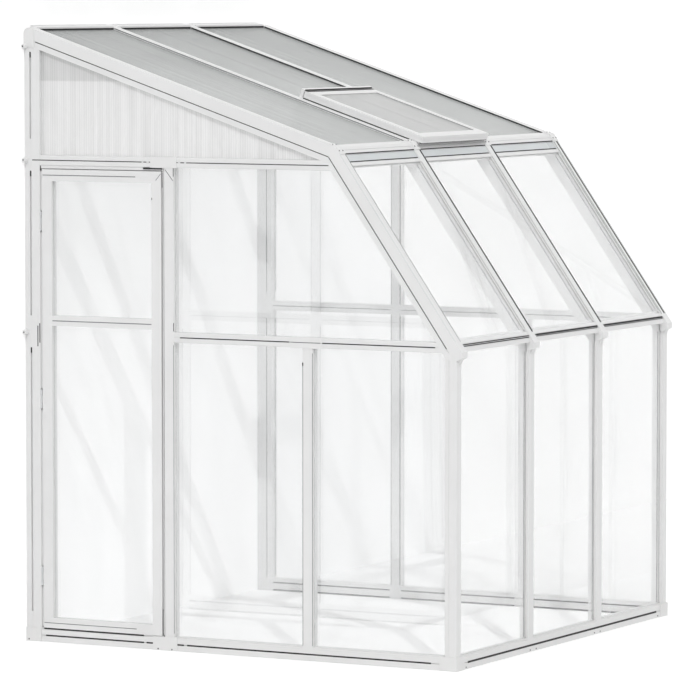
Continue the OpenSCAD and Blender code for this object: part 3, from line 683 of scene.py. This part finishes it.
@dataclass
class RoofBarSealsAndShade(Trim):
    """Lines along the roof bars: dark lines beside the panels, on the steep caps and on the gable faces, partly
    seals and partly painted shade of the gaps and grooves there, and beads.

    A run is the two ends on the slope, and n the distance out of it. cap_lines holds the place of the cap's line
    across each bar but the first. side_lines holds n, width, level and run of the grey lines on the left sides.
    fine_line and dark_line hold n and width.
    """

    cap_lines: tuple = (0.041, 0.041, 0.030)
    cap_w: float = 0.0110
    cap_run: tuple = (0.036, 0.905)
    side_lines: tuple = ((-0.0272, 0.0040, RISE, (0.090, 0.880)), (-0.0030, 0.0014, THIN, (0.089, 0.885)))
    fine_line: tuple = (-0.0026, 0.0034)
    dark_line: tuple = (-0.0044, 0.0056)
    right_w: float = 0.0030
    panel_run: tuple = (0.031, 1.440)
    vent_run: tuple = (0.560, 1.440)
    bead_size: float = 0.0030
    bead_n: float = -0.009
    bead_run: tuple = (0.0885, 0.889)
    face_n: float = -0.046
    face_w: float = 0.0034
    upper_face: tuple = (0.016, 1.415)
    steep_face: tuple = (0.016, 0.905)
    edge_in: float = 0.0455
    edge_w: float = 0.0038
    pale_in: float = 0.0030
    pale_w: float = 0.0050
    pale_upper: tuple = (0.036, 0.130)

    def build(self, finishes: Finishes) -> None:
        """Makes the lines of all four bars."""
        black, grey, white, pale = (Shell() for _ in range(4))
        steep, upper = LAYOUT.steep, LAYOUT.upper
        steep_out, upper_out = LAYOUT.out_of(steep), LAYOUT.out_of(upper)
        for i, left in enumerate(LAYOUT.bar_x):
            if i > 0:
                black.along(steep, left + self.cap_lines[i - 1], 0, self.cap_run, steep_out, self.cap_w)
                for n, width, level, run in self.side_lines:
                    grey.along(steep, left, n, run, LEFT, width, level)
                shell, (n, width) = (grey, self.fine_line) if i == 1 else (black, self.dark_line)
                shell.along(upper, left, n, self.vent_run if i == 2 else self.panel_run, LEFT, width)
            if i < 3:
                black.along(upper, left + LAYOUT.rafter_w, self.dark_line[0],
                            self.vent_run if i == 1 else self.panel_run, RIGHT, self.right_w)
        half = self.bead_size / 2
        for x in (*(x - half for x in LAYOUT.bar_x[1:]), *(x + LAYOUT.rafter_w + half for x in LAYOUT.bar_x[:3])):
            white.sweep(bead(self.bead_size, self.bead_size), [steep(x, s, self.bead_n) for s in self.bead_run],
                        RIGHT, steep_out)
        for x, out in GABLES:
            black.along(upper, x, self.face_n, self.upper_face, out, self.face_w)
            black.along(steep, x, self.face_n, self.steep_face, out, self.face_w)
        for x in (self.edge_in, LAYOUT.width - self.edge_in):
            grey.along(steep, x, 0, self.cap_run, steep_out, self.edge_w)
        for x in (self.pale_in, LAYOUT.width - self.pale_in):
            pale.along(steep, x, 0, self.cap_run, steep_out, self.pale_w, FLUSH)
            pale.along(upper, x, 0, self.pale_upper, upper_out, self.pale_w, FLUSH)
        pale.piece("bar_edge_lines", finishes.cool)
        black.piece("bar_seals_and_shade", finishes.rubber)
        grey.piece("bar_fine_seals_and_shade", finishes.grey)
        white.piece("bar_glazing_beads", finishes.moulded)


@dataclass
class RailShadowLines(Trim):
    """Painted shadow lines in the gaps and channels along the knee, the eave and the ridge, and bands, one length in
    each bay.

    knee_lines and band_line hold s, n, width and level on the steep slope. lip, ridge and back hold y, a height
    over the rail, width and level.
    """

    gap: float = 0.0005
    knee_lines: tuple = ((0.0320, -0.003, 0.0055, RISE), (0.0675, -0.007, 0.0046, PROUD))
    eave_at: tuple = (0.9185, -0.004)
    eave_w: tuple = (0.0046, 0.0070, 0.0070)
    band_line: tuple = (0.0503, -0.007, 0.0295, 0.0007)
    lip: tuple = (0.002, 0.021, 0.0036, 0.0012)
    ridge: tuple = (1.902, -0.0057, 0.0092, PROUD)
    back: tuple = (LAYOUT.depth - 0.0024, -0.0006, 0.0030, 0.0014)

    def build(self, finishes: Finishes) -> None:
        """Makes the lines of the three bays."""
        black, grey, band = Shell(), Shell(), Shell()
        steep, out = LAYOUT.steep, LAYOUT.out_of(LAYOUT.steep)
        for i in range(3):
            ends = (LAYOUT.bar_x[i] + LAYOUT.rafter_w + self.gap, LAYOUT.bar_x[i + 1] - self.gap)
            for line in (*self.knee_lines, (*self.eave_at, self.eave_w[i], RISE)):
                black.across(steep, ends, *line[:2], out, *line[2:])
            # the cool grey band in the knee rail's recess is partly its own tint and partly painted shade of the
            # recess
            band.across(steep, ends, *self.band_line[:2], out, *self.band_line[2:])
            for shell, level, (y, rise, width, high), way in (
                    (black if i == 0 else grey, LAYOUT.eave_z, self.lip, FRONT),
                    (black, LAYOUT.roof_z(self.ridge[0]), self.ridge, FRONT),
                    (grey, LAYOUT.roof_z(self.back[0]), self.back, UP)):
                shell.strip(*([x, y, level + rise] for x in ends), way, width, high)
        black.piece("rail_shadow_lines", finishes.rubber)
        grey.piece("rail_fine_shadow_lines", finishes.grey)
        band.piece("knee_bands", finishes.cool)


@dataclass
class PostSealsAndShade(Trim):
    """Upright lines on the posts: dark lines beside the front panels, on the near gable's posts and on the inner
    sides, partly seals and partly painted shade of the slots and gaps.

    Lines hold y, foot, top, width and level. plugs and wall_lines hold foot, top and, for the lines, width.
    """

    foot: float = 0.060
    top: float = 1.192
    front_y: tuple = (0.0225, 0.0215, 0.0260)
    front_w: float = 0.0030
    bead_w: float = 0.0036
    bead_h: float = 0.0032
    bead_y: float = 0.0125
    gable_fine: tuple = ((0.671, 0.060, 1.160, 0.0024, THIN), (0.6285, 0.060, 1.205, 0.0022, THIN),
                         (1.2525, 0.070, 1.215, 0.0020, THIN))
    gable_dark: tuple = ((0.671, 1.155, 1.168, 0.0048, PROUD), (1.2523, 1.271, 1.303, 0.0026, RISE),
                         (1.2523, 1.881, 1.914, 0.0026, RISE))
    coupler_x: float = -0.003
    coupler_line: tuple = (1.246, 0.590, 0.724, 0.0032, THIN)
    inner_dark: tuple = ((1.2385, 0.060, 1.222, 0.0046, RISE), (1.2385, 1.270, 1.910, 0.0046, RISE),
                         (1.2815, 0.060, 1.222, 0.0024, RISE), (1.2815, 1.270, 1.910, 0.0024, RISE))
    wall_y: float = 1.8937
    # The wider length from 1.430 to 1.550 is a painted shadow, where a sun shadow band crosses the wall posts.
    wall_lines: tuple = ((0.060, 1.190, 0.0030), (1.305, 1.430, 0.0026), (1.430, 1.550, 0.0058),
                         (1.550, 1.912, 0.0030))
    far_edge: tuple = (LAYOUT.width - 0.0032, 1.870, 0.0060)
    channel_y: float = 1.912
    plugs: tuple = ((0.056, 0.121), (1.185, 1.314), (1.893, 2.021), (2.367, 2.388))
    plug_w: float = 0.0080
    joint_z: tuple = (1.174, 1.882, 2.356)
    joint_half: float = 0.011
    joint_w: float = 0.0050
    wall_marks: tuple = ((1.8811, 1.190, 1.273, 0.0040, PROUD), (1.8722, 1.205, 1.283, 0.0036, PROUD))

    def build(self, finishes: Finishes) -> None:
        """Makes the upright lines."""
        black, grey, light = Shell(), Shell(), Shell()
        inner, inset = LAYOUT.inner_x, (LAYOUT.rafter_w - LAYOUT.post_w) / 2
        for x, y in zip((LAYOUT.bar_x[1] + inset, LAYOUT.bar_x[2] + inset, inner), self.front_y):
            black.uprights(x, LEFT, [(y, self.foot, self.top, self.front_w, RISE)])
            light.sweep(bead(self.bead_w, self.bead_h),
                        [[x - self.bead_w / 2, self.bead_y, z] for z in (self.foot, self.top)], RIGHT, FRONT)
        grey.uprights(0, LEFT, self.gable_fine)
        black.uprights(0, LEFT, self.gable_dark)
        grey.levels(self.coupler_x, LEFT, [self.coupler_line])
        black.uprights(inner, LEFT, self.inner_dark)
        for x, out in ((LAYOUT.rail_h, RIGHT), (inner, LEFT)):
            black.uprights(x, out, [(self.wall_y, z0, z1, width, RISE) for z0, z1, width in self.wall_lines])
        x, y, width = self.far_edge
        black.uprights(x, FRONT, [(y, z0, z1, width, RISE) for z0, z1, _ in self.wall_lines])
        for x, out in GABLES:
            light.uprights(x, out, [(self.channel_y, *run, self.plug_w, FLUSH) for run in self.plugs], DEEP)
            black.uprights(x, out, [(self.channel_y, z - self.joint_half, z + self.joint_half, self.joint_w, THIN)
                                    for z in self.joint_z])
            black.uprights(x, out, self.wall_marks)
        black.piece("post_seals_and_shade", finishes.rubber)
        grey.piece("post_fine_seals_and_shade", finishes.grey)
        light.piece("post_beads", finishes.paint)


@dataclass
class DoorTrim(Trim):
    """Dark strips of the door: painted shade in the slots of the leaf and in the gaps round it, a seal under it, and
    lips beside the gaps.

    Lines along the leaf hold z, both ends, width and level, upright ones y, foot, top, width and level. Joints are
    short slanting lines and hold two (y, z) ends, width and level.
    """

    lip_x: float = 0.010
    lip_level: float = 0.002
    lip_w: float = 0.0044
    lip_runs: tuple = ((0.062, 0.222), (0.308, 0.935), (1.022, 1.649), (1.735, 1.892))
    frame_lip_y: float = 1.8677
    leaf_lip_y: float = 1.8623
    latch_lip: tuple = (1.3038, 0.166, 1.833, 0.0034)
    slots: tuple = ((1.8765, 1.426, 1.856, 0.0034, RISE), (1.2945, 1.354, 1.812, 0.0036, RISE),
                    (0.0775, 1.426, 1.856, 0.0030, RISE))
    slot_plugs: tuple = ((1.8765, 1.352, 1.424, 0.0044, 0.0002), (0.0775, 1.352, 1.424, 0.0044, 0.0002))
    sweep_x: float = 0.0006
    sweep_line: tuple = (0.0540, 1.396, 1.858, 0.0060, RISE)
    sweep_low: float = -0.006
    leaf_joint: tuple = ((1.3322, 1.864), (1.3095, 1.8908), 0.0024, RISE)
    leaf_mark: tuple = (1.3505, 1.787, 1.795, 0.0030, PROUD)
    head_x: float = 0.004
    head_line: tuple = (LAYOUT.head_z - 0.0050, 1.303, 1.389, 0.0056, 0.006)
    gap_x: float = 0.006
    gap_lines: tuple = ((1.3034, 0.063, 0.163, 0.0027, 0.003), (1.3034, 1.836, 1.896, 0.0027, 0.003),
                        (1.8678, 1.895, 1.914, 0.0040, 0.003))
    jamb_joints: tuple = (((1.2895, 1.9077), (1.2540, 1.8645), 0.0022, THIN),
                          ((1.3015, 0.0620), (1.2925, 0.0490), 0.0026, RISE))

    def build(self, finishes: Finishes) -> None:
        """Makes the strips that ride on the door and those that stay on the frame."""
        grey, black, fixed, lips, leaf = (Shell() for _ in range(5))
        for shell, y in ((lips, self.frame_lip_y), (leaf, self.leaf_lip_y)):
            shell.uprights(self.lip_x, LEFT, [(y, *run, self.lip_w, self.lip_level) for run in self.lip_runs],
                           -self.lip_level)
        lips.uprights(self.lip_x, LEFT, [(*self.latch_lip, self.lip_level)], -self.lip_level)
        lips.piece("doorway_lips", finishes.paint)
        grey.levels(0, LEFT, self.slots)
        leaf.levels(0, LEFT, self.slot_plugs, DEEP)
        black.levels(self.sweep_x, LEFT, [self.sweep_line], self.sweep_low)
        black.uprights(0, LEFT, [self.leaf_mark])
        for shell, (start, end, width, level) in ((grey, self.leaf_joint), *((fixed, j) for j in self.jamb_joints)):
            shell.strip([0, *start], [0, *end], LEFT, width, level)
        leaf.piece("door_lips", finishes.paint, Body.DOOR)
        grey.piece("door_slot_shade_and_joint", finishes.grey, Body.DOOR)
        black.piece("door_sweep", finishes.rubber, Body.DOOR)
        fixed.levels(self.head_x, LEFT, [self.head_line])
        fixed.uprights(self.gap_x, LEFT, self.gap_lines)
        fixed.piece("doorway_gap_shade_and_joints", finishes.rubber)


@dataclass
class VentTrim(Trim):
    """Dark strips of the roof vent: painted shadow in the gaps on the cross bar, beside and under the sash and on its
    upper bar, and seals round its panel.

    Lines across the vent hold how far they end inside the sash, s, n, width and level; side_line n, run, width and
    level.
    """

    bar_line: tuple = (0.004, 0.544, 0.034, 0.0056, PROUD)
    side_out: float = 0.00095
    side_line: tuple = (0.0002, (0.0312, 0.540), 0.0017, 0.0037)
    lower_line: tuple = (0.002, -0.0190, 0.0008, 0.0090, 0.0032)
    upper_line: tuple = (0.004, 0.5340, 0.0311, 0.0085, THIN)
    sash_bar: float = 0.045
    bead_w: float = 0.0022
    bead_h: float = 0.0018
    bead_drop: float = 0.003

    def build(self, finishes: Finishes) -> None:
        """Makes the dark strips of the frame and of the vent."""
        fixed, under, beads = Shell(), Shell(), Shell()
        upper, out = LAYOUT.upper, LAYOUT.out_of(LAYOUT.upper)
        x0 = (LAYOUT.width - LAYOUT.sash_w) / 2
        x1 = LAYOUT.width - x0
        down = upper(0, 0, 0) - upper(0, 1, 0)
        for shell, way, low, (inset, s, n, width, level) in (
                (fixed, down, BACK, self.bar_line), (under, out, 0.0, self.lower_line),
                (under, out, BACK, self.upper_line)):
            shell.across(upper, (x0 + inset, x1 - inset), s, n, way, width, level, low)
        n, run, *size = self.side_line
        for x in (x0 - self.side_out, x1 + self.side_out):
            fixed.along(upper, x, n, run, out, *size)
        fixed.piece("vent_frame_shadow_lines", finishes.rubber)
        under.piece("vent_sash_shadow_lines", finishes.rubber, Body.VENT)
        n, half = LAYOUT.sash_top - self.bead_drop, self.bead_w / 2
        left, right = x0 + self.sash_bar, x1 - self.sash_bar
        low, high = self.sash_bar - LAYOUT.sash_over, LAYOUT.sash_l - LAYOUT.sash_over - self.sash_bar
        section = bead(self.bead_w, self.bead_h)
        for x in (left + half, right - half):
            beads.sweep(section, [upper(x, s, n) for s in (low, high)], RIGHT, out)
        beads.sweep(section, [upper(x, low + half, n) for x in (left + self.bead_w, right - self.bead_w)], -down, out)
        beads.piece("vent_panel_seals", finishes.grey, Body.VENT)


@dataclass
class Fixings(Trim):
    """Screw heads on couplers, feet and covers, and the tabs that hold the wall posts.

    side_screws holds y, z and how far each stands out. tab_size holds a tab's reach and its two half sizes.
    """

    small: float = 0.0030
    side_screws: tuple = ((0.598, 1.246, 0.0), (0.716, 1.246, 0.0), (1.262, 0.006, 0.003), (1.325, 0.006, 0.003),
                          (1.926, 0.008, 0.005))
    front_x: tuple = (0.085, 0.646, 0.700, 1.240, 1.293, LAYOUT.width - 0.085)
    front_z: float = 0.0075
    cover_x: tuple = (0.010, 0.038)
    cover_n: float = 0.003
    upper_s: float = 0.017
    steep_s: float = 0.020
    tab_y: float = LAYOUT.depth - 0.0085
    tab_z: tuple = (1.246, 1.936, 2.390)
    tab_size: tuple = (0.025, 0.0085, 0.0105)
    tab_screw: float = 0.0034
    tab_screw_out: float = 0.0245

    def build(self, finishes: Finishes) -> None:
        """Makes the screws and the tabs."""
        screws, tabs = Shell(), Shell()
        for x, out in GABLES:
            for y, z, proud in self.side_screws:
                screws.screw(self.small, np.array([x, y, z]) + out * proud, out)
            for z in self.tab_z:
                root = np.array([x, self.tab_y, z])
                tabs.tab(root, out, *self.tab_size)
                screws.screw(self.tab_screw, root + out * self.tab_screw_out, out)
        for x in self.front_x:
            screws.screw(self.small, np.array([x, 0.0, self.front_z]), FRONT)
        for slope, s in ((LAYOUT.upper, self.upper_s), (LAYOUT.steep, self.steep_s)):
            for x in (left + dx for left in LAYOUT.bar_x for dx in self.cover_x):
                screws.screw(self.small, slope(x, s, self.cover_n), LAYOUT.out_of(slope))
        screws.piece("frame_screws", finishes.screw)
        tabs.piece("wall_tabs", finishes.moulded)


@dataclass
class Studio:
    """Floor, house wall, light and camera.

    The wall is open behind the posts and the top rail, to show their backs: post_cell holds how far those openings
    lie inside the width, rail_cell how far the rail's lies under the ridge.
    """

    camera_place: tuple = (-17.579, -9.41075, 2.6105)
    yaw: float = 0.4930
    pitch: float = 0.0730
    lens: float = 252.70
    clip_end: float = 300.0
    sun_way: tuple = (1.31, 1.0, -1.64)
    sun_power: float = 1.0
    sun_angle: float = math.radians(0.3)
    sky: tuple = (0.44, 0.76)
    sky_low: float = -0.1
    white: tuple = ((0.93, 0.93, 0.93, 1), (0.95, 0.95, 0.95, 1))
    ground: float = -0.0004
    floor_half: float = 60.0
    floor_lift: float = 0.22
    wall_half: float = 9.0
    wall_top: float = 6.0
    wall_gap: float = 0.0002
    wall_lift: float = 0.30
    post_cell: tuple = (0.004, 0.036)
    rail_cell: tuple = (0.080, 0.012)

    def _backdrop(self, name: str, corners: list, faces: list, lift: float, one_sided: bool) -> None:
        """Makes a flat white surface that keeps shadows.

        Args:
            name: its name.
            corners: its corners in the shared frame.
            faces: four corner numbers for each face.
            lift: light added where the camera sees it, straight or through glass.
            one_sided: True where its back isn't seen.
        """
        mesh = bpy.data.meshes.new(name)
        mesh.from_pydata(corners, [], faces)
        made, t, shader = new_material(name)
        white = t.blend(t.noise(t.place(), 3.0, 3.0), *self.white)
        t.feed(shader, {"Base Color": white, "Roughness": 1.0, "Specular IOR Level": 0.0})
        glow = t.node("Emission", {0: (1, 1, 1, 1), 1: t.math("MULTIPLY", t.seen(), lift)})
        last = t.node("AddShader", {0: shader.outputs[0], 1: glow.outputs[0]}).outputs[0]
        if one_sided:
            back = t.node("NewGeometry").outputs["Backfacing"]
            clear = t.node("BsdfTransparent").outputs[0]
            last = t.node("MixShader", {0: back, 1: last, 2: clear}).outputs[0]
        output = next(n for n in t.tree.nodes if n.type == "OUTPUT_MATERIAL")
        t.put(last, output.inputs[0])
        mesh.materials.append(made)
        add_object(name, mesh)

    def _floor(self) -> None:
        """Makes the floor, one face just under the base."""
        half, z = self.floor_half, self.ground
        corners = [(-half, -half, z), (half, -half, z), (half, half, z), (-half, half, z)]
        self._backdrop("studio_floor", corners, [(0, 1, 2, 3)], self.floor_lift, False)

    def _house_wall(self) -> None:
        """Makes the house wall on a grid of corners, left open just behind the wall posts and the top rail."""
        back = LAYOUT.depth - (LAYOUT.depth - LAYOUT.eave_out) / 2 + self.wall_gap
        outer, inner = (LAYOUT.width / 2 - inset for inset in self.post_cell)
        low, high = (LAYOUT.roof_z(LAYOUT.depth) - drop for drop in self.rail_cell)
        xs = (-self.wall_half, -outer, -inner, inner, outer, self.wall_half)
        corners = [(x, back, z) for z in (self.ground, low, high, self.wall_top) for x in xs]
        gaps = {(1, 0), (3, 0), (1, 1), (2, 1), (3, 1)}
        faces = [(6 * j + i, 6 * j + i + 1, 6 * j + i + 7, 6 * j + i + 6)
                 for j in range(3) for i in range(5) if (i, j) not in gaps]
        self._backdrop("house_wall", corners, faces, self.wall_lift, True)

    def _world(self) -> None:
        """Soft sky, brighter overhead, and white where it is seen."""
        world = bpy.data.worlds.new("soft_sky")
        world.use_nodes = True
        bpy.context.scene.world = world
        t = Tree(world.node_tree)
        way = t.node("SeparateXYZ", {0: t.node("TexCoord").outputs["Generated"]})
        power = t.ramp(way.outputs[2], self.sky_low, 1.0, *self.sky)
        strength = t.node("Mix", {0: t.seen(), 2: power, 3: 1.0}).outputs[0]
        sky = t.node("Background", {0: (1, 1, 1, 1), 1: strength})
        t.node("OutputWorld", {0: sky.outputs[0]})

    def _sun(self) -> None:
        """Sets the sun, without a highlight of its own on the sheets."""
        lamp = bpy.data.lights.new("sun", "SUN")
        lamp.energy, lamp.angle = self.sun_power, self.sun_angle
        sun = add_object("sun", lamp)
        sun.visible_glossy = False
        sun.rotation_euler = Vector(self.sun_way).to_track_quat("-Z", "Y").to_euler()

    def _camera(self) -> None:
        """Sets the camera of the photograph."""
        data = bpy.data.cameras.new("camera")
        data.lens, data.clip_end = self.lens, self.clip_end
        camera = add_object("camera", data)
        cy, sy, cp, sp = math.cos(self.yaw), math.sin(self.yaw), math.cos(self.pitch), math.sin(self.pitch)
        ahead = Vector((cy * cp, sy * cp, -sp))
        right = Vector((sy, -cy, 0.0))
        turn = Matrix((right, right.cross(ahead), -ahead)).transposed()
        camera.matrix_world = Matrix.Translation(self.camera_place) @ turn.to_4x4()
        bpy.context.scene.camera = camera

    def build(self) -> None:
        """Makes the stage, the lights and the camera."""
        self._floor()
        self._house_wall()
        self._world()
        self._sun()
        self._camera()
        bpy.context.scene.view_settings.view_transform = "Standard"
        LOG.info("stage, light and camera are set")


def main() -> None:
    """Builds every sub-assembly in order."""
    logging.basicConfig(level=logging.INFO)
    finishes = Finishes()
    finishes.dress()
    for part in (GableSlotShade(), RoofBarSealsAndShade(), RailShadowLines(), PostSealsAndShade(), DoorTrim(), VentTrim(), Fixings()):
        part.build(finishes)
    Studio().build()


if __name__ == "__main__":
    main()
